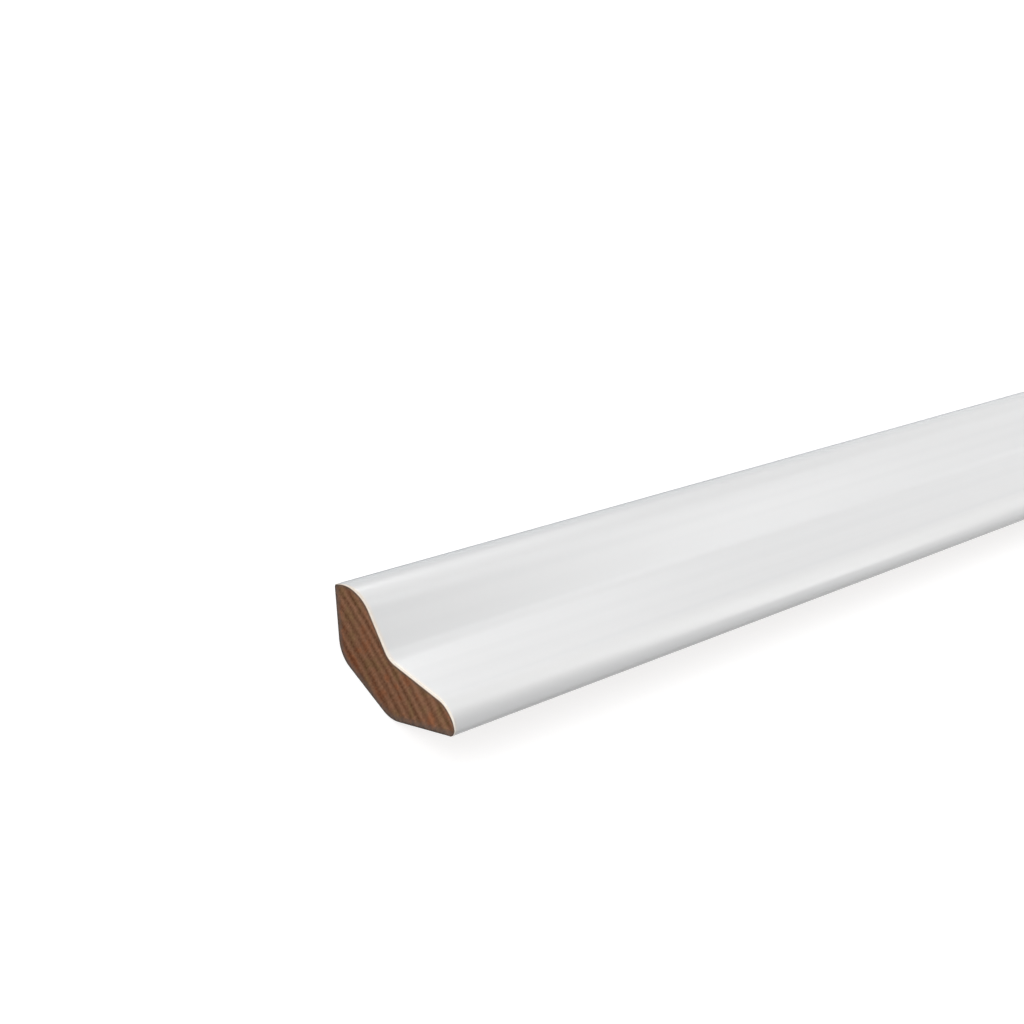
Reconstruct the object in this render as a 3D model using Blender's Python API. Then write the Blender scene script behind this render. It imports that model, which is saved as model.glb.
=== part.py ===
"""Scotia moulding: one length of painted timber trim for the joint between a floor and a wall.

The section is drawn as the moulding is fitted, with its floor leg along the floor and its wall
leg up the wall. Its front runs from a nose at the top of the wall leg, through a hollow, to a
nose at the end of the floor leg. Its back is planed off on a slant, so that it clears whatever
fills the corner. Loose, the length lies on that slant, and it is placed so here.
"""

import math

import bmesh
import bpy
from mathutils import Matrix, Vector

# Sizes in metres. "Out" is measured from the wall and "up" from the floor, both to sharp corners.
LENGTH = 2.4

FLOOR_LEG_OUT = 0.025
WALL_LEG_UP = 0.0198
FLOOR_TIP_RADIUS = 0.0012
WALL_TIP_RADIUS = 0.0006

UPPER_NOSE_OUT = 0.0058
UPPER_NOSE_UP = 0.0205
UPPER_NOSE_RADIUS = 0.0066
HOLLOW_OUT = 0.0116
HOLLOW_UP = 0.0098
HOLLOW_RADIUS = 0.0040
LOWER_NOSE_UP = 0.0044
LOWER_NOSE_RADIUS = 0.0046

HEEL_OUT = 0.0107
HEEL_UP = 0.0084
HEEL_RADIUS = 0.0054

ARC_STEP = math.radians(3)

PAINT_WHITE = (0.80, 0.82, 0.83, 1.0)
PAINT_ROUGHNESS = 0.30
TIMBER_BROWN = (0.16, 0.085, 0.050, 1.0)
TIMBER_ROUGHNESS = 0.75


def clear_scene():
    for obj in list(bpy.data.objects):
        bpy.data.objects.remove(obj, do_unlink=True)


def surface(name, colour, roughness):
    material = bpy.data.materials.new(name)
    material.use_nodes = True
    principled = material.node_tree.nodes["Principled BSDF"]
    principled.inputs["Base Color"].default_value = colour
    principled.inputs["Roughness"].default_value = roughness
    principled.inputs["Metallic"].default_value = 0.0
    material.diffuse_color = colour
    return material


def section_corners():
    """The section's sharp corners, as (out, up), each with the radius that rounds it."""
    return (
        (Vector((HEEL_OUT, 0.0)), HEEL_RADIUS),
        (Vector((0.0, HEEL_UP)), HEEL_RADIUS),
        (Vector((0.0, WALL_LEG_UP)), WALL_TIP_RADIUS),
        (Vector((UPPER_NOSE_OUT, UPPER_NOSE_UP)), UPPER_NOSE_RADIUS),
        (Vector((HOLLOW_OUT, HOLLOW_UP)), HOLLOW_RADIUS),
        (Vector((FLOOR_LEG_OUT, LOWER_NOSE_UP)), LOWER_NOSE_RADIUS),
        (Vector((FLOOR_LEG_OUT, 0.0)), FLOOR_TIP_RADIUS),
    )


def turn_at(before, corner, after):
    """How far the outline turns at a corner, in radians, positive when anticlockwise."""
    arriving = corner - before
    leaving = after - corner
    return math.atan2(arriving.cross(leaving), arriving.dot(leaving))


def fitting_radii(corners, turns, radii):
    """The radii, made smaller where two roundings would run into each other on one straight."""
    reaches = [radius * math.tan(abs(turn) / 2) for radius, turn in zip(radii, turns)]
    count = len(corners)
    room = []
    for this in range(count):
        following = (this + 1) % count
        straight = (corners[following] - corners[this]).length
        wanted = reaches[this] + reaches[following]
        room.append(min(1.0, straight / wanted))
    return [radii[this] * min(room[this - 1], room[this]) for this in range(count)]


def rounded_corner(before, corner, after, turn, radius):
    """Points of the arc that touches both straights of a corner."""
    back = (before - corner).normalized()
    onward = (after - corner).normalized()
    start = corner + back * radius * math.tan(abs(turn) / 2)
    centre = corner + (back + onward).normalized() * radius / math.cos(turn / 2)
    spoke = start - centre
    steps = max(1, math.ceil(abs(turn) / ARC_STEP))
    return [centre + Matrix.Rotation(turn * step / steps, 2) @ spoke for step in range(steps + 1)]


def section_outline():
    """The finished section: straights joined by arcs that touch them, as (out, up) points."""
    corners, radii = zip(*section_corners())
    count = len(corners)
    around = [(corners[this - 1], corners[this], corners[(this + 1) % count]) for this in range(count)]
    turns = [turn_at(*three) for three in around]
    outline = []
    for three, turn, radius in zip(around, turns, fitting_radii(corners, turns, radii)):
        outline += rounded_corner(*three, turn, radius)
    return outline


def moulded_length(outline):
    """The section drawn across one end and extruded along +X, with its front towards -Y."""
    shape = bmesh.new()
    ring = [shape.verts.new((-LENGTH / 2, -out, up)) for out, up in outline]
    sawn_end = shape.faces.new(ring)
    extruded = bmesh.ops.extrude_face_region(shape, geom=[sawn_end])["geom"]
    far_ring = [item for item in extruded if isinstance(item, bmesh.types.BMVert)]
    bmesh.ops.translate(shape, verts=far_ring, vec=(LENGTH, 0.0, 0.0))
    bmesh.ops.recalc_face_normals(shape, faces=shape.faces)
    mesh = bpy.data.meshes.new("scotia_moulding")
    shape.to_mesh(mesh)
    shape.free()
    mesh.shade_smooth()
    mesh.set_sharp_from_angle(angle=math.radians(30))
    return mesh


def finish_faces(mesh, paint, timber):
    """Paint on every face that looks out or up, and bare timber on the back and the sawn ends."""
    mesh.materials.append(paint)
    mesh.materials.append(timber)
    for face in mesh.polygons:
        looks_out = -face.normal.y
        looks_up = face.normal.z
        face.material_index = 0 if max(looks_out, looks_up) > math.sin(ARC_STEP / 4) else 1


def lay_on_heel(obj, outline):
    """Turns the length about its own axis onto its slanted heel, centred over the origin."""
    slant = math.atan2(HEEL_UP, HEEL_OUT)
    roll = Matrix.Rotation(-slant, 2)
    rolled = [roll @ Vector((-out, up)) for out, up in outline]
    sideways = [point.x for point in rolled]
    lowest = min(point.y for point in rolled)
    obj.rotation_euler.x = -slant
    obj.location.y = -(min(sideways) + max(sideways)) / 2
    obj.location.z = -lowest


def scotia_moulding():
    outline = section_outline()
    mesh = moulded_length(outline)
    paint = surface("white_paint", PAINT_WHITE, PAINT_ROUGHNESS)
    timber = surface("bare_timber", TIMBER_BROWN, TIMBER_ROUGHNESS)
    finish_faces(mesh, paint, timber)
    obj = bpy.data.objects.new("scotia_moulding", mesh)
    bpy.context.scene.collection.objects.link(obj)
    lay_on_heel(obj, outline)


clear_scene()
scotia_moulding()
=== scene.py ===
"""The looks of a white painted scotia moulding: satin paint over its front, and timber behind.

The section is drawn in millimetres as the moulding is fitted. "Out" is measured from the wall,
"up" from the floor and "along" from the middle of the length. The pieces are then laid on the
slanted heel in the frame's own place, in metres. The front is painted, and the back and the two
sawn ends are bare timber.
"""

import math

import bmesh
import bpy
import numpy as np
from mathutils import Matrix, Quaternion, Vector
from mathutils.geometry import delaunay_2d_cdt


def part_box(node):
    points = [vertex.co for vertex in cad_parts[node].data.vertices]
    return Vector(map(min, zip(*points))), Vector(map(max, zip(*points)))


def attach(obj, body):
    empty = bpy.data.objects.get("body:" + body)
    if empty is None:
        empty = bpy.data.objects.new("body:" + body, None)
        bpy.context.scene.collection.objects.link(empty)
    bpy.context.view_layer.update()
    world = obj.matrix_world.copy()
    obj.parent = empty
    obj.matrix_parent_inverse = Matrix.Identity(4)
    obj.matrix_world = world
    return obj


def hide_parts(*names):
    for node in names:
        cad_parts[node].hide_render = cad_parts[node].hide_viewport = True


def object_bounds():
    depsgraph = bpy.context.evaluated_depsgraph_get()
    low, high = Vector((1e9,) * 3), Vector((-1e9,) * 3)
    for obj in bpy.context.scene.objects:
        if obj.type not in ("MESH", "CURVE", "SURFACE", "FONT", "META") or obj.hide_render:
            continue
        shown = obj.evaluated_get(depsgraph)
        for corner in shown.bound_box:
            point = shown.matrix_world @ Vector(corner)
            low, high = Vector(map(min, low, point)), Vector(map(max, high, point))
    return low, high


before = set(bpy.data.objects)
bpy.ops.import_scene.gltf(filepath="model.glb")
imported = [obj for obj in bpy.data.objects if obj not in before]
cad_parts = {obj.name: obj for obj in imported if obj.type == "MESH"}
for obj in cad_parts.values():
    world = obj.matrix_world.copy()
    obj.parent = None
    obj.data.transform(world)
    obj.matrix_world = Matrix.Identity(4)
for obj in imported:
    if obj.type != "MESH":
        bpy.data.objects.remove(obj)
cad_low, cad_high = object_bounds()

MM = 0.001
NODE = "scotia_moulding"

# Section, to sharp corners, and the radius that rounds each corner.
FLOOR_LEG_OUT = 25.0
WALL_LEG_UP = 19.8
FLOOR_TIP_RADIUS = 1.2
WALL_TIP_RADIUS = 0.6
UPPER_NOSE_OUT = 5.8
UPPER_NOSE_UP = 20.5
UPPER_NOSE_RADIUS = 6.6
HOLLOW_OUT = 11.6
HOLLOW_UP = 9.8
HOLLOW_RADIUS = 4.0
LOWER_NOSE_UP = 4.4
LOWER_NOSE_RADIUS = 4.6
HEEL_OUT = 10.7
HEEL_UP = 8.4
HEEL_RADIUS = 5.4
ARC_STEP = math.radians(2.5)
SLANT = math.atan2(HEEL_UP, HEEL_OUT)

# Thickness of the paint: full from the hollow to the lower nose, less up the flank and over the
# upper nose, and thin where it runs out at the two tips.
COAT = 0.43
FLANK_COAT = 0.37
NOSE_COAT = 0.33
TOP_COAT = 0.10
THIN_COAT = 0.06

# Where the paint differs: cream by the cut, darker over the upper nose (thin paint and painted
# shade), matt and greyer along its feather edge there (the grey is thin paint and painted shade),
# and a painted highlight on the lower nose. Its cut edge has painted shade up the flank.
CREAM_REACH = 0.8
THIN_AND_SHADE_OUT = (1.25, 5.0)
MATT_AND_SHADE_OUT = (0.7, 2.2)
HIGHLIGHT_OUT = (21.5, 23.5)
HIGHLIGHT_UP = (2.4, 3.6)
CUT_SHADE_OUT = (8.5, 12.5)

# Sawn ends: a slice of the timber at each end, whose edges the saw has left a little blunt.
END_SLICE = 3.0
ARRIS = 0.10
PAINT_ARRIS = 0.20
PAINT_ARRIS_TURNS = (90.0, 67.5, 45.0, 22.5, 0.0)
PAINT_FLAT_FROM = PAINT_ARRIS * 1.25
GRAIN_PITCH = 0.22
GRAIN_UNEVEN = 0.3
RIM_LOOPS = (0.12, 0.28, 0.50)
BACK_RIM = 1.5
FRONT_RIM = 0.55
FRONT_RIM_SHARE = 0.70

# Marks of the circular saw, round its centre far below the floor leg, and torn fibre.
KERF_PITCH = 0.85
KERF_RADIUS = 105.0
KERF_DEPTH = 0.018
KERF_LEAST = 0.4
KERF_SWELL = 0.9
KERF_SLANT = 0.2
TEAR_DEPTH = 0.022
TEAR_RARITY = 6
SAW_OUT = FLOOR_LEG_OUT * 0.4
SAW_UP = -KERF_RADIUS * 0.9

# Growth rings: where the heart of the tree was, and how far apart the rings are. Their width
# swings over a cycle of years, and the wood is paler towards the bark.
HEART_OUT = -148.0
HEART_UP = -115.0
RING_WIDTH = 1.78
FIRST_RING = 0.18
GROWTH_CYCLE = 8.06
GROWTH_SWING = 0.20
INNER_RING = 193.0
OUTER_RING = 209.0
RAYS_ROUND = 900.0
RAY_STRETCH = 0.25

# Material slots: paint and its cut edge on the coat, and grain and planed back on a sawn end.
PAINT_SLOT, CUT_SLOT = 0, 1
GRAIN_SLOT, BACK_SLOT = 0, 1

# Reach within which points count as one, in metres and, for the sawn face, in millimetres. The
# triangles of that face are the ones inside its rim, and nothing is divided by less than TINY.
WELD_REACH = 1e-7
GRID_REACH = 1e-5
KEEP_INSIDE = 1
TINY = 1e-12
SHARP_EDGE = math.radians(28)

# Sawn ends: name, which way each one looks along the length, and seed of its grain.
SAWN_ENDS = (("near", -1, 11), ("far", 1, 23))


# The section

def section_corners():
    """Sharp corners (out, up), radius, and the coat at the start, middle and end of each arc."""
    return (
        ((HEEL_OUT, 0.0), HEEL_RADIUS, (0.0, 0.0, 0.0)),
        ((0.0, HEEL_UP), HEEL_RADIUS, (0.0, 0.0, 0.0)),
        ((0.0, WALL_LEG_UP), WALL_TIP_RADIUS, (0.0, 0.0, TOP_COAT)),
        ((UPPER_NOSE_OUT, UPPER_NOSE_UP), UPPER_NOSE_RADIUS, (TOP_COAT, NOSE_COAT, FLANK_COAT)),
        ((HOLLOW_OUT, HOLLOW_UP), HOLLOW_RADIUS, (FLANK_COAT, COAT, COAT)),
        ((FLOOR_LEG_OUT, LOWER_NOSE_UP), LOWER_NOSE_RADIUS, (COAT, COAT, THIN_COAT)),
        ((FLOOR_LEG_OUT, 0.0), FLOOR_TIP_RADIUS, (THIN_COAT, THIN_COAT, 0.0)),
    )


def rounded_corner(before, corner, after, radius, coats):
    """The arc's points, as (point, outward normal, thickness of the coat)."""
    back = (before - corner).normalized()
    onward = (after - corner).normalized()
    arriving = -back
    turn = math.atan2(arriving.cross(onward), arriving.dot(onward))
    start = corner + back * radius * math.tan(abs(turn) / 2)
    centre = corner + (back + onward).normalized() * radius / math.cos(turn / 2)
    spoke = start - centre
    outward = -math.copysign(1.0, turn)
    steps = math.ceil(abs(turn) / ARC_STEP)
    points = []
    for step in range(steps + 1):
        share = step / steps
        turned = Matrix.Rotation(turn * share, 2) @ spoke
        coat = float(np.interp(share, (0.0, 0.5, 1.0), coats))
        points.append((centre + turned, turned.normalized() * outward, coat))
    return points


def section_outline():
    """The whole section, clockwise from the heel's end on the floor leg."""
    corners = section_corners()
    places = [Vector(corner[0]) for corner in corners]
    outline = []
    for this, (_, radius, coats) in enumerate(corners):
        after = places[(this + 1) % len(places)]
        outline += rounded_corner(places[this - 1], places[this], after, radius, coats)
    return outline


OUTLINE = section_outline()


def timber_line(inset=0.0):
    """The timber's own section: the outline without the coat, and smaller by the inset."""
    return [point - normal * (coat + inset) for point, normal, coat in OUTLINE]


def bare_line(inset):
    """The part of the timber's line that carries no coat, from the floor tip round to the wall tip."""
    line = [tuple(point) for point in timber_line(inset)]
    coated = [number for number, row in enumerate(OUTLINE) if row[2] > 0.0]
    return line[coated[-1]:] + line[:coated[0] + 1]


def coat_lines(inset=0.0):
    """Outer and inner line of the coat, from its feather edge at the wall to that at the floor."""
    coated = [row for row in OUTLINE if row[2] > 0.0]
    outer = [point - normal * min(inset, coat / 2) for point, normal, coat in coated]
    inner = [point - normal * coat for point, normal, coat in coated]
    return outer, inner


# Laying the section down in the frame

def laid_shift():
    """How far the rolled section moves so that its box lies on the frame's box, in metres."""
    roll = Matrix.Rotation(-SLANT, 2)
    rolled = [roll @ Vector((-point.x, point.y)) * MM for point, _, _ in OUTLINE]
    low_y = min(point.x for point in rolled)
    low_z = min(point.y for point in rolled)
    low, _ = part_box(NODE)
    return Vector((0.0, low.y - low_y, low.z - low_z))


LAID = Matrix.Translation(laid_shift()) @ Matrix.Rotation(-SLANT, 4, "X")
END_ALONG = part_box(NODE)[1].x / MM


def laid(along, out, up):
    """Where a point of the section's own frame lies in the scene, in metres."""
    return LAID @ Vector((along * MM, -out * MM, up * MM))


# Meshes

def ring_at(shape, along, line):
    """A ring of corners along a line of the section, at one place along the length."""
    return [shape.verts.new(laid(along, point.x, point.y)) for point in line]


def join_rings(shape, first, second, slot=0):
    """A band of quads between two rings with the same number of corners."""
    count = len(first)
    for this in range(count):
        after = (this + 1) % count
        face = shape.faces.new((first[this], first[after], second[after], second[this]))
        face.material_index = slot


def finished_piece(name, shape, materials):
    """Turns a shape into a smooth-shaded piece that rides on the moulding."""
    bmesh.ops.remove_doubles(shape, verts=shape.verts, dist=WELD_REACH)
    bmesh.ops.recalc_face_normals(shape, faces=shape.faces)
    mesh = bpy.data.meshes.new(name)
    shape.to_mesh(mesh)
    shape.free()
    mesh.shade_smooth()
    mesh.set_sharp_from_angle(angle=SHARP_EDGE)
    for material in materials:
        mesh.materials.append(material)
    piece = bpy.data.objects.new(name, mesh)
    bpy.context.scene.collection.objects.link(piece)
    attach(piece, "root")
    return piece


def timber_body(material):
    """The timber between the two sawn ends, with its planed back."""
    shape = bmesh.new()
    reach = END_ALONG - END_SLICE
    line = timber_line()
    near = ring_at(shape, -reach, line)
    far = ring_at(shape, reach, line)
    join_rings(shape, near, far)
    shape.faces.new(near)
    shape.faces.new(far)
    return finished_piece("timber_body", shape, (material,))


def coat_strip(shape, stations, slots):
    """A closed strip of the coat through stations (along, inset), with a slot for each stretch.

    "depth" is 0 on the coat's outer face and 1 where it meets the timber.
    """
    depth = shape.verts.layers.float.new("depth")
    rows = []
    for along, inset in stations:
        outer, inner = coat_lines(inset)
        rows.append((ring_at(shape, along, outer), ring_at(shape, along, inner)))
        for vert in rows[-1][1]:
            vert[depth] = 1.0
    for row, (before, after) in enumerate(zip(rows, rows[1:])):
        for side in (0, 1):
            for this in range(len(before[side]) - 1):
                corners = (before[side][this], before[side][this + 1])
                corners += (after[side][this + 1], after[side][this])
                shape.faces.new(corners).material_index = slots[row]
        for end in (0, -1):
            corners = (before[0][end], before[1][end], after[1][end], after[0][end])
            shape.faces.new(corners).material_index = slots[row]
    for (outer, inner), slot in zip((rows[0], rows[-1]), (slots[0], slots[-1])):
        for this in range(len(outer) - 1):
            corners = (outer[this], outer[this + 1], inner[this + 1], inner[this])
            shape.faces.new(corners).material_index = slot


def paint_coat(paint):
    """The paint over the front, between its two cut edges."""
    shape = bmesh.new()
    reach = END_ALONG - END_SLICE
    coat_strip(shape, ((-reach, 0.0), (reach, 0.0)), (PAINT_SLOT,))
    return finished_piece("paint_coat", shape, (paint,))


def paint_cut(name, end, paint, cut_edge):
    """The last of the paint at one end, where the saw has left its edge bare and a little round."""
    shape = bmesh.new()
    stations = []
    slots = []
    for turn in np.radians(PAINT_ARRIS_TURNS):
        along = END_ALONG - PAINT_ARRIS * (1 - math.sin(turn))
        stations.append((end * along, PAINT_ARRIS * (1 - math.cos(turn))))
        slots.append(CUT_SLOT)
    # The first of these stands close behind the arris and keeps the shading of the flat true.
    for back in (PAINT_FLAT_FROM, END_SLICE):
        stations.append((end * (END_ALONG - back), 0.0))
        slots.append(PAINT_SLOT)
    coat_strip(shape, stations, slots[1:])
    return finished_piece(name, shape, (paint, cut_edge))


def edge_distances(points, line):
    """How far each point is from a line of points, in millimetres."""
    starts = np.array(line[:-1])
    spans = np.array(line[1:]) - starts
    lengths = np.maximum((spans**2).sum(1), TINY)
    nearest = np.full(len(points), np.inf)
    for start, span, length in zip(starts, spans, lengths):
        share = np.clip(((points - start) @ span) / length, 0.0, 1.0)
        apart = points - start - share[:, None] * span
        nearest = np.minimum(nearest, np.hypot(apart[:, 0], apart[:, 1]))
    return nearest


def inside_line(points, line):
    """Which points lie inside a closed line."""
    inside = np.zeros(len(points), bool)
    previous = line[-1]
    for corner in line:
        spans = (corner[1] > points[:, 1]) != (previous[1] > points[:, 1])
        rise = (previous[1] - corner[1]) or TINY
        crossing = corner[0] + (points[:, 1] - corner[1]) * (previous[0] - corner[0]) / rise
        inside ^= spans & (points[:, 0] < crossing)
        previous = corner
    return inside


def sawn_grid(line, seed):
    """Points spread over the sawn face, a little uneven, and clear of the loops along its edge."""
    corners = np.array(line)
    low, high = corners.min(0), corners.max(0)
    columns = np.arange(low[0], high[0], GRAIN_PITCH)
    rows = np.arange(low[1], high[1], GRAIN_PITCH)
    grid = np.array(np.meshgrid(columns, rows)).reshape(2, -1).T
    uneven = np.random.default_rng(seed)
    grid += uneven.uniform(-GRAIN_UNEVEN, GRAIN_UNEVEN, grid.shape) * GRAIN_PITCH
    grid = grid[inside_line(grid, corners)]
    clear = edge_distances(grid, np.vstack([corners, corners[:1]])) > RIM_LOOPS[-1] + GRAIN_PITCH / 2
    return grid[clear]


def sawn_relief(points, seed):
    """Depth of the saw's marks and of torn fibre at each point, in millimetres."""
    uneven = np.random.default_rng(seed)
    sweep = np.hypot(*(points - np.array((SAW_OUT, SAW_UP))).T)
    kerf = 0.5 + 0.5 * np.sin(2 * math.pi * sweep / KERF_PITCH)
    swell = 0.5 + 0.5 * np.sin(sweep * KERF_SWELL + points[:, 0] * KERF_SLANT)
    tears = uneven.uniform(0.0, 1.0, len(points)) ** TEAR_RARITY
    return KERF_DEPTH * kerf * (KERF_LEAST + (1 - KERF_LEAST) * swell) + TEAR_DEPTH * tears


def sawn_end(name, end, grain, back, seed):
    """A short slice of the timber whose outer face shows end grain, saw marks and a darker rim.

    "rim" is 1 at the edge, where the end is drawn darker, and 0 away from it.
    """
    rim_line = [tuple(point) for point in timber_line(ARRIS)]
    loops = [rim_line] + [[tuple(p) for p in timber_line(ARRIS + inset)] for inset in RIM_LOOPS]
    grid = sawn_grid(timber_line(ARRIS), seed)
    points = [point for loop in loops for point in loop]
    edges = []
    for number, loop in enumerate(loops):
        first = number * len(loop)
        edges += [(first + this, first + (this + 1) % len(loop)) for this in range(len(loop))]
    rim_face = [list(range(len(rim_line)))]
    points += [tuple(point) for point in grid]
    flat, _, triangles, *_ = delaunay_2d_cdt(points, edges, rim_face, KEEP_INSIDE, GRID_REACH)

    places = np.array(flat)
    closed = np.array(rim_line + rim_line[:1])
    from_edge = edge_distances(places, closed)
    from_back = edge_distances(places, np.array(bare_line(ARRIS)))
    rim = np.clip(1 - from_edge / FRONT_RIM, 0, 1) * FRONT_RIM_SHARE
    rim = np.maximum(rim, np.clip(1 - from_back / BACK_RIM, 0, 1))
    depth = sawn_relief(places, seed + 1) * np.clip(from_edge / RIM_LOOPS[0], 0, 1)

    shape = bmesh.new()
    # How near each point is to the edge, which the end grain draws as a darker rim.
    rim_layer = shape.verts.layers.float.new("rim")
    face_verts = []
    for place, near_rim, sunk in zip(flat, rim, depth):
        vert = shape.verts.new(laid(end * (END_ALONG - sunk), place.x, place.y))
        vert[rim_layer] = near_rim
        face_verts.append(vert)
    for triangle in triangles:
        shape.faces.new([face_verts[corner] for corner in triangle])

    blunt = ring_at(shape, end * END_ALONG, timber_line(ARRIS))
    side = ring_at(shape, end * (END_ALONG - ARRIS), timber_line())
    cut = ring_at(shape, end * (END_ALONG - END_SLICE), timber_line())
    for ring in (blunt, side):
        for vert in ring:
            vert[rim_layer] = 1.0
    join_rings(shape, blunt, side, GRAIN_SLOT)
    join_rings(shape, side, cut, BACK_SLOT)
    shape.faces.new(cut).material_index = BACK_SLOT
    return finished_piece(name, shape, (grain, back))


# Node trees

def node(tree, kind, inputs=None, **settings):
    """A shader node with its settings made and each input set, or linked from a socket."""
    made = tree.nodes.new("ShaderNode" + kind)
    for name, value in settings.items():
        setattr(made, name, value)
    for name, value in (inputs or {}).items():
        if isinstance(value, bpy.types.NodeSocket):
            tree.links.new(value, made.inputs[name])
        else:
            made.inputs[name].default_value = value
    return made


def maths(tree, operation, *values):
    """A sum, product or other operation on sockets and numbers."""
    made = node(tree, "Math", dict(enumerate(values)), operation=operation)
    return made.outputs[0]


def with_more(tree, total, mask, amount):
    """The total with some amount of a mask added."""
    return maths(tree, "MULTIPLY_ADD", mask, amount, total)


def centred(tree, value):
    """A value between 0 and 1, moved to lie either side of 0."""
    return maths(tree, "SUBTRACT", value, 0.5)


def between(tree, value, low, high, to_low=0.0, to_high=1.0):
    """The value's place between low and high, eased, as a place between two other values."""
    places = {"Value": value, "From Min": low, "From Max": high, "To Min": to_low, "To Max": to_high}
    return node(tree, "MapRange", places, interpolation_type="SMOOTHSTEP").outputs["Result"]


def blend_colours(tree, share, first, second, how="MIX"):
    """The first colour, taken towards the second, or tinted by it, by the share."""
    made = node(tree, "Mix", data_type="RGBA", blend_type=how)
    for socket, value in zip((made.inputs[0], made.inputs[6], made.inputs[7]), (share, first, second)):
        if isinstance(value, bpy.types.NodeSocket):
            tree.links.new(value, socket)
        else:
            socket.default_value = value
    return made.outputs[2]


def new_group(name, inputs, outputs):
    """An empty shader node group with float inputs (name, value) and float outputs."""
    group = bpy.data.node_groups.new(name, "ShaderNodeTree")
    for socket_name, value in inputs:
        socket = group.interface.new_socket(socket_name, in_out="INPUT", socket_type="NodeSocketFloat")
        socket.default_value = value
    for socket_name in outputs:
        group.interface.new_socket(socket_name, in_out="OUTPUT", socket_type="NodeSocketFloat")
    given = group.nodes.new("NodeGroupInput")
    result = group.nodes.new("NodeGroupOutput")
    return group, given.outputs, result.inputs


def placed_group(tree, group, **values):
    """A group placed in a material with that material's own values."""
    made = tree.nodes.new("ShaderNodeGroup")
    made.node_tree = group
    for name, value in values.items():
        made.inputs[name.replace("_", " ").title()].default_value = value
    return made.outputs


def section_place(tree):
    """Coordinates in the section's own frame, in millimetres: along, minus out, and up."""
    place = node(tree, "TexCoord").outputs["Object"]
    shift = node(tree, "VectorMath", {0: place, 1: LAID.translation}, operation="SUBTRACT")
    turn = {"Vector": shift.outputs[0], "Angle": SLANT}
    upright = node(tree, "VectorRotate", turn, rotation_type="X_AXIS").outputs[0]
    return node(tree, "VectorMath", {0: upright, "Scale": 1 / MM}, operation="SCALE").outputs[0]


def section_axes(tree, place):
    """Along, out and up at a place in the section's own frame."""
    axes = node(tree, "SeparateXYZ", {0: place}).outputs
    out = maths(tree, "MULTIPLY", axes["Y"], -1.0)
    return axes["X"], out, axes["Z"]


def stretched_noise(tree, place, stretch, scale, detail=3.0, roughness=0.55):
    """Noise that is drawn out along the moulding, so that it reads as streaks from the side."""
    drawn = node(tree, "VectorMath", {0: place, 1: (1 / stretch, 1.0, 1.0)}, operation="MULTIPLY")
    values = {"Vector": drawn.outputs[0], "Scale": scale, "Detail": detail, "Roughness": roughness}
    return node(tree, "TexNoise", values).outputs["Fac"]


def growth_rings_group():
    """Rings round a heart outside the section: lateness, each ring's tone, rays, and how far out."""
    inputs = (("Ring Width", RING_WIDTH), ("Wander", 0.3))
    outputs = ("Latewood", "Ring Tone", "Rays", "Outward")
    group, given, result = new_group("growth_rings", inputs, outputs)
    place = section_place(group)
    heart = node(group, "VectorMath", {0: place, 1: (0.0, -HEART_OUT, HEART_UP)}, operation="SUBTRACT")
    across = node(group, "VectorMath", {0: heart.outputs[0], 1: (0.0, 1.0, 1.0)}, operation="MULTIPLY")
    radius = node(group, "VectorMath", {0: across.outputs[0]}, operation="LENGTH").outputs["Value"]
    wander = centred(group, stretched_noise(group, place, 60.0, 0.11, 2.0))
    bent = with_more(group, radius, wander, maths(group, "MULTIPLY", given["Wander"], 4.0))
    season = maths(group, "MULTIPLY", bent, 2 * math.pi / GROWTH_CYCLE)
    uneven = maths(group, "MULTIPLY", maths(group, "SINE", season), GROWTH_SWING)
    grown = maths(group, "SUBTRACT", maths(group, "ADD", bent, uneven), FIRST_RING)
    count = maths(group, "DIVIDE", grown, given["Ring Width"])
    part = maths(group, "FRACT", count)
    rising = between(group, part, 0.0, 0.5)
    falling = between(group, part, 0.5, 1.0, 1.0, 0.0)
    group.links.new(maths(group, "MULTIPLY", rising, falling), result["Latewood"])
    whole = maths(group, "FLOOR", count)
    tone = node(group, "TexWhiteNoise", {"W": whole}, noise_dimensions="1D").outputs["Value"]
    group.links.new(tone, result["Ring Tone"])
    turn = node(group, "SeparateXYZ", {0: across.outputs[0]}).outputs
    bearing = maths(group, "ARCTAN2", turn["Z"], turn["Y"])
    spoke = maths(group, "MULTIPLY", bearing, RAYS_ROUND)
    inward = maths(group, "MULTIPLY", radius, RAY_STRETCH)
    ray_place = node(group, "CombineXYZ", {"X": spoke, "Y": inward}).outputs[0]
    ray_values = {"Vector": ray_place, "Scale": 1.0, "Detail": 2.0, "Roughness": 0.5}
    rays = node(group, "TexNoise", ray_values, noise_dimensions="2D").outputs["Fac"]
    group.links.new(between(group, rays, 0.35, 0.70), result["Rays"])
    group.links.new(between(group, radius, INNER_RING, OUTER_RING), result["Outward"])
    return group


def timber_fibre_group():
    """Fibre drawn out along the length: fine streaks from the side and specks at a sawn end."""
    inputs = (("Fine Scale", 5.0), ("Coarse Scale", 1.1))
    group, given, result = new_group("timber_fibre", inputs, ("Fine Fibre", "Coarse Fibre"))
    place = section_place(group)
    fine = stretched_noise(group, place, 28.0, given["Fine Scale"], 3.0, 0.6)
    coarse = stretched_noise(group, place, 70.0, given["Coarse Scale"], 3.0, 0.55)
    group.links.new(between(group, fine, 0.30, 0.70), result["Fine Fibre"])
    group.links.new(between(group, coarse, 0.28, 0.72), result["Coarse Fibre"])
    return group


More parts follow.
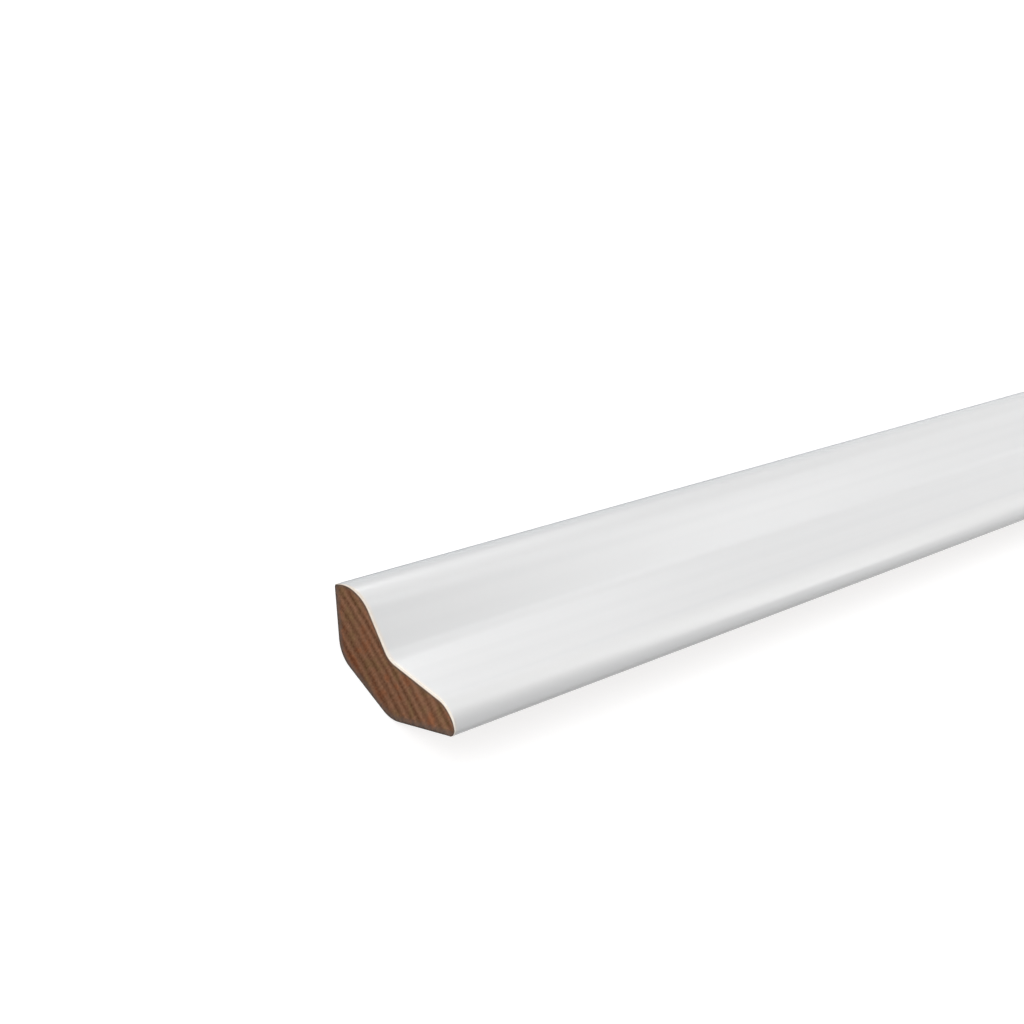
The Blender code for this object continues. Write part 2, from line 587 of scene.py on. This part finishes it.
def saw_scratch_group():
    """Fine scratches of a circular saw across a cut end."""
    inputs = (("Pitch", 0.30),)
    group, given, result = new_group("saw_scratch", inputs, ("Scratch",))
    place = section_place(group)
    centre = (0.0, -SAW_OUT, SAW_UP)
    reach = node(group, "VectorMath", {0: place, 1: centre}, operation="SUBTRACT").outputs[0]
    flat = node(group, "VectorMath", {0: reach, 1: (0.0, 1.0, 1.0)}, operation="MULTIPLY").outputs[0]
    sweep = node(group, "VectorMath", {0: flat}, operation="LENGTH").outputs["Value"]
    line = maths(group, "DIVIDE", sweep, given["Pitch"])
    values = {"W": line, "Scale": 1.0, "Detail": 2.0, "Roughness": 0.6}
    marks = node(group, "TexNoise", values, noise_dimensions="1D").outputs["Fac"]
    group.links.new(between(group, marks, 0.35, 0.65), result["Scratch"])
    return group


def machine_streak_group():
    """Long faint streaks that the cutter leaves down the length, under paint or on bare timber."""
    inputs = (("Streak Scale", 0.5), ("Knife Pitch", 1.6))
    group, given, result = new_group("machine_streaks", inputs, ("Streaks", "Knife Marks"))
    place = section_place(group)
    streaks = stretched_noise(group, place, 150.0, given["Streak Scale"], 2.0, 0.4)
    group.links.new(between(group, streaks, 0.25, 0.75), result["Streaks"])
    along, _, _ = section_axes(group, place)
    turns = maths(group, "DIVIDE", maths(group, "MULTIPLY", along, 2 * math.pi), given["Knife Pitch"])
    marks = maths(group, "MULTIPLY_ADD", maths(group, "SINE", turns), 0.5, 0.5)
    group.links.new(marks, result["Knife Marks"])
    return group


def new_material(name):
    """A material with its node tree and its Principled BSDF."""
    material = bpy.data.materials.new(name)
    material.use_nodes = True
    tree = material.node_tree
    return material, tree, tree.nodes["Principled BSDF"]


def raised(tree, height, depth_mm, normal=None):
    """A bump whose full height is depth_mm."""
    inputs = {"Height": height, "Distance": depth_mm * MM, "Strength": 1.0}
    if normal is not None:
        inputs["Normal"] = normal
    return node(tree, "Bump", inputs).outputs["Normal"]


# Finishes

# Colours
EARLYWOOD = (0.270, 0.134, 0.076, 1.0)
LATEWOOD = (0.096, 0.036, 0.015, 1.0)
RUST_TINT = (1.12, 0.92, 0.78, 1.0)
OLIVE_TINT = (0.91, 1.02, 0.88, 1.0)
RIM_GREY = (0.124, 0.091, 0.076, 1.0)
RIM_DARKEST = (0.049, 0.039, 0.032, 1.0)
BACK_EARLY = (0.40, 0.245, 0.150, 1.0)
BACK_LATE = (0.230, 0.120, 0.065, 1.0)
BACK_RED = (0.225, 0.080, 0.038, 1.0)
PAINT_WHITE = (0.826, 0.828, 0.830, 1.0)
PAINT_GREYER = (0.802, 0.805, 0.808, 1.0)
PAINT_CREAM = (0.860, 0.808, 0.755, 1.0)
# Thin paint over the upper nose, which also stands in as painted shade there
PAINT_THIN_AND_SHADE = (0.600, 0.620, 0.640, 1.0)
# Grey of the paint's feather edge: partly thin paint, partly painted shade along the top edge
PAINT_FEATHER_AND_SHADE = (0.525, 0.545, 0.565, 1.0)
# Painted highlight along the lower nose
PAINT_HIGHLIGHT = (0.862, 0.862, 0.860, 1.0)
CUT_CREAM = (0.98, 0.88, 0.77, 1.0)
CUT_BRIGHT = (1.00, 0.95, 0.88, 1.0)
CUT_TAN = (0.72, 0.55, 0.42, 1.0)
# Painted shade on the cut edge up the flank
CUT_SHADE = (0.88, 0.86, 0.85, 1.0)
WHITE = (1.0, 1.0, 1.0, 1.0)

# Paint: its roughness, gloss and relief. Heights of relief are in millimetres.
PAINT_ROUGHNESS = 0.186
STREAK_ROUGHNESS = 0.008
FEATHER_ROUGHNESS = 0.50
PAINT_GLOSS = 0.35
STREAK_HEIGHT = 0.003
KNIFE_HEIGHT = 0.0004
PEEL_HEIGHT = 0.003

# Cut edge of the paint: its roughness, gloss and relief
CUT_ROUGHNESS = 0.66
CHALK_ROUGHNESS = 0.2
CUT_GLOSS = 0.2
CUT_SCRATCH = 0.004
CHALK_HEIGHT = 0.006

# Sawn end grain: how far each thing takes the colour towards latewood, or away from it.
RING_DARK = 0.52
RING_VARIES = 0.20
GRAIN_DARK = 0.30
BARK_PALE = -0.28
SPECK_DARK = 0.36
RAY_PALE = -0.20

# Its darker rim, roughness, gloss and relief
RIM_RAGGED = 0.25
RIM_GREY_SHARE = 0.75
RIM_DARKEST_SHARE = 0.85
GRAIN_ROUGHNESS = 0.82
LATEWOOD_ROUGHNESS = -0.12
GRAIN_GLOSS = 0.12
RING_HEIGHT = 0.035
SAW_HEIGHT = 0.012
SPECK_HEIGHT = 0.012

# Planed back: its fibre, its red tinge, roughness and relief
BACK_SPECK = 0.45
BACK_RED_SHARE = 0.25
BACK_ROUGHNESS = 0.72
BACK_LATE_ROUGHNESS = -0.1
BACK_RING_HEIGHT = 0.02
BACK_FIBRE_HEIGHT = 0.03
BACK_KNIFE_HEIGHT = 0.004


def white_satin_paint(streaks):
    """Sprayed satin white, faint long streaks over the whole front, painted shade on the upper nose,
    painted highlight on the lower.
    """
    material, tree, principled = new_material("white_satin_paint")
    place = section_place(tree)
    along, out, up = section_axes(tree, place)
    machine = placed_group(tree, streaks, streak_scale=0.42, knife_pitch=5.0)
    cloud = stretched_noise(tree, place, 12.0, 0.06, 2.0)
    tone = with_more(tree, maths(tree, "MULTIPLY", cloud, 0.65), machine["Streaks"], 0.35)
    colour = blend_colours(tree, between(tree, tone, 0.3, 0.7), PAINT_GREYER, PAINT_WHITE)
    from_cut = maths(tree, "SUBTRACT", END_ALONG, maths(tree, "ABSOLUTE", along))
    cream = between(tree, from_cut, PAINT_ARRIS / 2, CREAM_REACH, 1.0, 0.0)
    colour = blend_colours(tree, cream, colour, PAINT_CREAM)
    # Darker over the upper nose: partly the thin paint there, partly painted shade.
    colour = blend_colours(tree, between(tree, out, *THIN_AND_SHADE_OUT, 1.0, 0.0), colour, PAINT_THIN_AND_SHADE)
    # Matt along the feather edge at the wall tip, and greyer there: the grey is partly thin paint,
    # partly painted shade.
    matt = between(tree, out, *MATT_AND_SHADE_OUT, 1.0, 0.0)
    colour = blend_colours(tree, matt, colour, PAINT_FEATHER_AND_SHADE)
    # Painted highlight: a lighter band along the lower nose.
    full = maths(tree, "MULTIPLY", between(tree, out, *HIGHLIGHT_OUT), between(tree, up, *HIGHLIGHT_UP))
    colour = blend_colours(tree, full, colour, PAINT_HIGHLIGHT)
    tree.links.new(colour, principled.inputs["Base Color"])

    roughness = maths(tree, "MULTIPLY_ADD", machine["Streaks"], STREAK_ROUGHNESS, PAINT_ROUGHNESS)
    roughness = with_more(tree, roughness, matt, FEATHER_ROUGHNESS)
    tree.links.new(roughness, principled.inputs["Roughness"])
    principled.inputs["Specular IOR Level"].default_value = PAINT_GLOSS

    peel_values = {"Vector": place, "Scale": 0.9, "Detail": 2.0, "Roughness": 0.45}
    peel = node(tree, "TexNoise", peel_values).outputs["Fac"]
    normal = raised(tree, machine["Streaks"], STREAK_HEIGHT)
    normal = raised(tree, machine["Knife Marks"], KNIFE_HEIGHT, normal)
    normal = raised(tree, peel, PEEL_HEIGHT, normal)
    tree.links.new(normal, principled.inputs["Normal"])
    return material


def paint_cut_edge(scratch):
    """The coat's sawn edge: bright chalky cream, tan where it meets the timber, and painted shade up
    the flank.
    """
    material, tree, principled = new_material("paint_cut_edge")
    place = section_place(tree)
    _, out, _ = section_axes(tree, place)
    saw = placed_group(tree, scratch, pitch=0.25)
    chalk_values = {"Vector": place, "Scale": 2.6, "Detail": 3.0, "Roughness": 0.6}
    chalk = node(tree, "TexNoise", chalk_values).outputs["Fac"]
    colour = blend_colours(tree, between(tree, chalk, 0.35, 0.65), CUT_CREAM, CUT_BRIGHT)
    depth = node(tree, "Attribute", attribute_name="depth", attribute_type="GEOMETRY").outputs["Fac"]
    primed = with_more(tree, depth, centred(tree, chalk), 0.4)
    colour = blend_colours(tree, between(tree, primed, 0.25, 0.95), colour, CUT_TAN)
    # Painted shade: the cut edge darker over the upper nose and flank.
    flank_shade = between(tree, out, *CUT_SHADE_OUT, 1.0, 0.0)
    colour = blend_colours(tree, flank_shade, colour, CUT_SHADE, "MULTIPLY")
    tree.links.new(colour, principled.inputs["Base Color"])

    roughness = maths(tree, "MULTIPLY_ADD", chalk, CHALK_ROUGHNESS, CUT_ROUGHNESS)
    tree.links.new(roughness, principled.inputs["Roughness"])
    principled.inputs["Specular IOR Level"].default_value = CUT_GLOSS

    normal = raised(tree, saw["Scratch"], CUT_SCRATCH)
    tree.links.new(raised(tree, chalk, CHALK_HEIGHT, normal), principled.inputs["Normal"])
    return material


def sawn_end_grain(rings, fibre, scratch):
    """End grain with rings, rays and specks, rust and olive patches, and a darker grey rim."""
    material, tree, principled = new_material("sawn_end_grain")
    grown = placed_group(tree, rings, ring_width=RING_WIDTH, wander=0.10)
    specks = placed_group(tree, fibre, fine_scale=2.1, coarse_scale=0.42)
    saw = placed_group(tree, scratch, pitch=0.32)
    speck = centred(tree, specks["Fine Fibre"])
    ring = maths(tree, "MULTIPLY_ADD", grown["Ring Tone"], RING_VARIES, RING_DARK)
    share = maths(tree, "MULTIPLY_ADD", grown["Latewood"], ring, GRAIN_DARK)
    share = with_more(tree, share, grown["Outward"], BARK_PALE)
    share = with_more(tree, share, speck, SPECK_DARK)
    share = with_more(tree, share, centred(tree, grown["Rays"]), RAY_PALE)
    colour = blend_colours(tree, share, EARLYWOOD, LATEWOOD)
    rust = between(tree, specks["Coarse Fibre"], 0.55, 1.0)
    colour = blend_colours(tree, rust, colour, RUST_TINT, "MULTIPLY")
    olive = between(tree, specks["Coarse Fibre"], 0.0, 0.45, 1.0, 0.0)
    colour = blend_colours(tree, olive, colour, OLIVE_TINT, "MULTIPLY")

    # Greyer towards the rim of the end, and darkest at its very edge.
    near_rim = node(tree, "Attribute", attribute_name="rim", attribute_type="GEOMETRY").outputs["Fac"]
    ragged = with_more(tree, near_rim, speck, RIM_RAGGED)
    greyed = maths(tree, "MULTIPLY", between(tree, ragged, 0.1, 0.85), RIM_GREY_SHARE)
    colour = blend_colours(tree, greyed, colour, RIM_GREY)
    darkest = maths(tree, "MULTIPLY", between(tree, ragged, 0.75, 1.0), RIM_DARKEST_SHARE)
    colour = blend_colours(tree, darkest, colour, RIM_DARKEST)
    tree.links.new(colour, principled.inputs["Base Color"])

    roughness = maths(tree, "MULTIPLY_ADD", grown["Latewood"], LATEWOOD_ROUGHNESS, GRAIN_ROUGHNESS)
    tree.links.new(roughness, principled.inputs["Roughness"])
    principled.inputs["Specular IOR Level"].default_value = GRAIN_GLOSS

    normal = raised(tree, grown["Latewood"], RING_HEIGHT)
    normal = raised(tree, saw["Scratch"], SAW_HEIGHT, normal)
    normal = raised(tree, specks["Fine Fibre"], SPECK_HEIGHT, normal)
    tree.links.new(normal, principled.inputs["Normal"])
    return material


def planed_back(rings, fibre, streaks):
    """Planed timber with the rings as long figure, fine fibre and faint knife marks."""
    material, tree, principled = new_material("planed_timber_back")
    grown = placed_group(tree, rings, ring_width=RING_WIDTH, wander=0.35)
    grain = placed_group(tree, fibre, fine_scale=4.2, coarse_scale=0.8)
    machine = placed_group(tree, streaks, streak_scale=0.8, knife_pitch=5.0)
    ring = maths(tree, "MULTIPLY_ADD", grown["Ring Tone"], 0.5, 0.5)
    late = maths(tree, "MULTIPLY", grown["Latewood"], ring)
    late = with_more(tree, late, centred(tree, grain["Fine Fibre"]), BACK_SPECK)
    colour = blend_colours(tree, late, BACK_EARLY, BACK_LATE)
    red = maths(tree, "MULTIPLY", grain["Coarse Fibre"], BACK_RED_SHARE)
    colour = blend_colours(tree, red, colour, BACK_RED)
    tree.links.new(colour, principled.inputs["Base Color"])

    roughness = maths(tree, "MULTIPLY_ADD", late, BACK_LATE_ROUGHNESS, BACK_ROUGHNESS)
    tree.links.new(roughness, principled.inputs["Roughness"])

    normal = raised(tree, grown["Latewood"], BACK_RING_HEIGHT)
    normal = raised(tree, grain["Fine Fibre"], BACK_FIBRE_HEIGHT, normal)
    normal = raised(tree, machine["Knife Marks"], BACK_KNIFE_HEIGHT, normal)
    tree.links.new(normal, principled.inputs["Normal"])
    return material


# Stage

# The floor is mid grey where lamps light it, and its lift makes it white to the camera and in
# reflections.
FLOOR_SIDE = 30.0
FLOOR_GREY = (0.40, 0.40, 0.40, 1.0)
FLOOR_ROUGHNESS = 0.9
FLOOR_LIFT = 0.78
WORLD_FILL = 0.10

# Softboxes: bearing, height and spread in degrees, and strength. The windows stand in an arc
# over the far end, and their glow shows along the satin paint.
SOFTBOXES = (
    ("at_near_end", 180.0, 25.0, 80.0, 2.28),
    ("over_near_end", 180.0, 60.0, 40.0, 0.475),
    ("overhead", 90.0, 75.0, 30.0, 0.30),
    ("at_far_end", 0.0, 8.0, 30.0, 0.40),
    ("over_far_end", 0.0, 40.0, 30.0, 0.20),
    ("window_1", -30.0, 24.0, 20.0, 0.10),
    ("window_2", -22.0, 33.0, 12.0, 0.15),
    ("window_3", -14.0, 36.0, 12.0, 0.05),
    ("window_4", -8.0, 42.0, 12.0, 0.07),
    ("window_5", 5.0, 46.0, 20.0, 0.115),
    ("window_6", 30.0, 40.0, 12.0, 0.04),
    ("window_7", 40.0, 32.0, 12.0, 0.04),
    ("window_8", 48.0, 23.0, 18.0, 0.06),
    ("window_9", 55.0, 28.0, 12.0, 0.43),
)

# Camera, in metres, at the near end of the length
CAMERA_PLACE = Vector((-1.365133, -0.106641, 0.187201))
CAMERA_AIM = Vector((-1.146989, 0.026587, 0.0))
CAMERA_ROLL = math.radians(29.11)
CAMERA_LENS = 62.18
CAMERA_SENSOR = 36.0


def seen_directly(tree):
    """1 for rays from the camera and for those that mirror or pass on the view, and 0 for the rest."""
    path = node(tree, "LightPath").outputs
    seen = maths(tree, "MAXIMUM", path["Is Camera Ray"], path["Is Glossy Ray"])
    return maths(tree, "MAXIMUM", seen, path["Is Transmission Ray"])


def pale_floor():
    """A matt floor that keeps the moulding's shadow."""
    material, tree, principled = new_material("pale_floor")
    principled.inputs["Base Color"].default_value = FLOOR_GREY
    principled.inputs["Roughness"].default_value = FLOOR_ROUGHNESS
    principled.inputs["Specular IOR Level"].default_value = 0.0
    principled.inputs["Emission Color"].default_value = WHITE
    lift = maths(tree, "MULTIPLY", seen_directly(tree), FLOOR_LIFT)
    tree.links.new(lift, principled.inputs["Emission Strength"])
    return material


def lay_floor():
    shape = bmesh.new()
    bmesh.ops.create_grid(shape, x_segments=1, y_segments=1, size=FLOOR_SIDE / 2)
    mesh = bpy.data.meshes.new("floor")
    shape.to_mesh(mesh)
    shape.free()
    mesh.materials.append(pale_floor())
    floor = bpy.data.objects.new("floor", mesh)
    floor.location.z = cad_low.z
    bpy.context.scene.collection.objects.link(floor)


def white_world():
    """White to the camera and in reflections, and a little even fill on the rest."""
    world = bpy.data.worlds.new("studio")
    world.use_nodes = True
    tree = world.node_tree
    background = tree.nodes["Background"]
    background.inputs["Color"].default_value = WHITE
    share = maths(tree, "MULTIPLY_ADD", seen_directly(tree), 1.0 - WORLD_FILL, WORLD_FILL)
    tree.links.new(share, background.inputs["Strength"])
    bpy.context.scene.world = world


def far_softbox(name, bearing, height, spread, strength):
    """A softbox so far off that it lights the whole length alike. Angles are in degrees."""
    data = bpy.data.lights.new(name, "SUN")
    data.angle = math.radians(spread)
    data.energy = strength
    turn, rise = math.radians(bearing), math.radians(height)
    towards = Vector((math.cos(rise) * math.cos(turn), math.cos(rise) * math.sin(turn), math.sin(rise)))
    lamp = bpy.data.objects.new(name, data)
    lamp.rotation_mode = "QUATERNION"
    lamp.rotation_quaternion = towards.to_track_quat("Z", "Y")
    bpy.context.scene.collection.objects.link(lamp)


def studio_light():
    for softbox in SOFTBOXES:
        far_softbox(*softbox)


def place_camera():
    data = bpy.data.cameras.new("camera")
    data.lens = CAMERA_LENS
    data.sensor_width = CAMERA_SENSOR
    camera = bpy.data.objects.new("camera", data)
    camera.location = CAMERA_PLACE
    camera.rotation_mode = "QUATERNION"
    level = (CAMERA_PLACE - CAMERA_AIM).to_track_quat("Z", "Y")
    camera.rotation_quaternion = level @ Quaternion((0.0, 0.0, 1.0), CAMERA_ROLL)
    bpy.context.scene.collection.objects.link(camera)
    bpy.context.scene.camera = camera


def make_moulding():
    """The painted length: timber, coat, and a sawn end with the coat's cut edge at both ends."""
    rings = growth_rings_group()
    fibre = timber_fibre_group()
    scratch = saw_scratch_group()
    streaks = machine_streak_group()
    paint = white_satin_paint(streaks)
    cut_edge = paint_cut_edge(scratch)
    grain = sawn_end_grain(rings, fibre, scratch)
    back = planed_back(rings, fibre, streaks)
    body = timber_body(back)
    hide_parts(NODE)
    paint_coat(paint)
    for side, end, seed in SAWN_ENDS:
        sawn_end("sawn_end_" + side, end, grain, back, seed)
        paint_cut("paint_cut_" + side, end, paint, cut_edge)


make_moulding()
lay_floor()
white_world()
studio_light()
place_camera()
bpy.context.scene.view_settings.view_transform = "Standard"
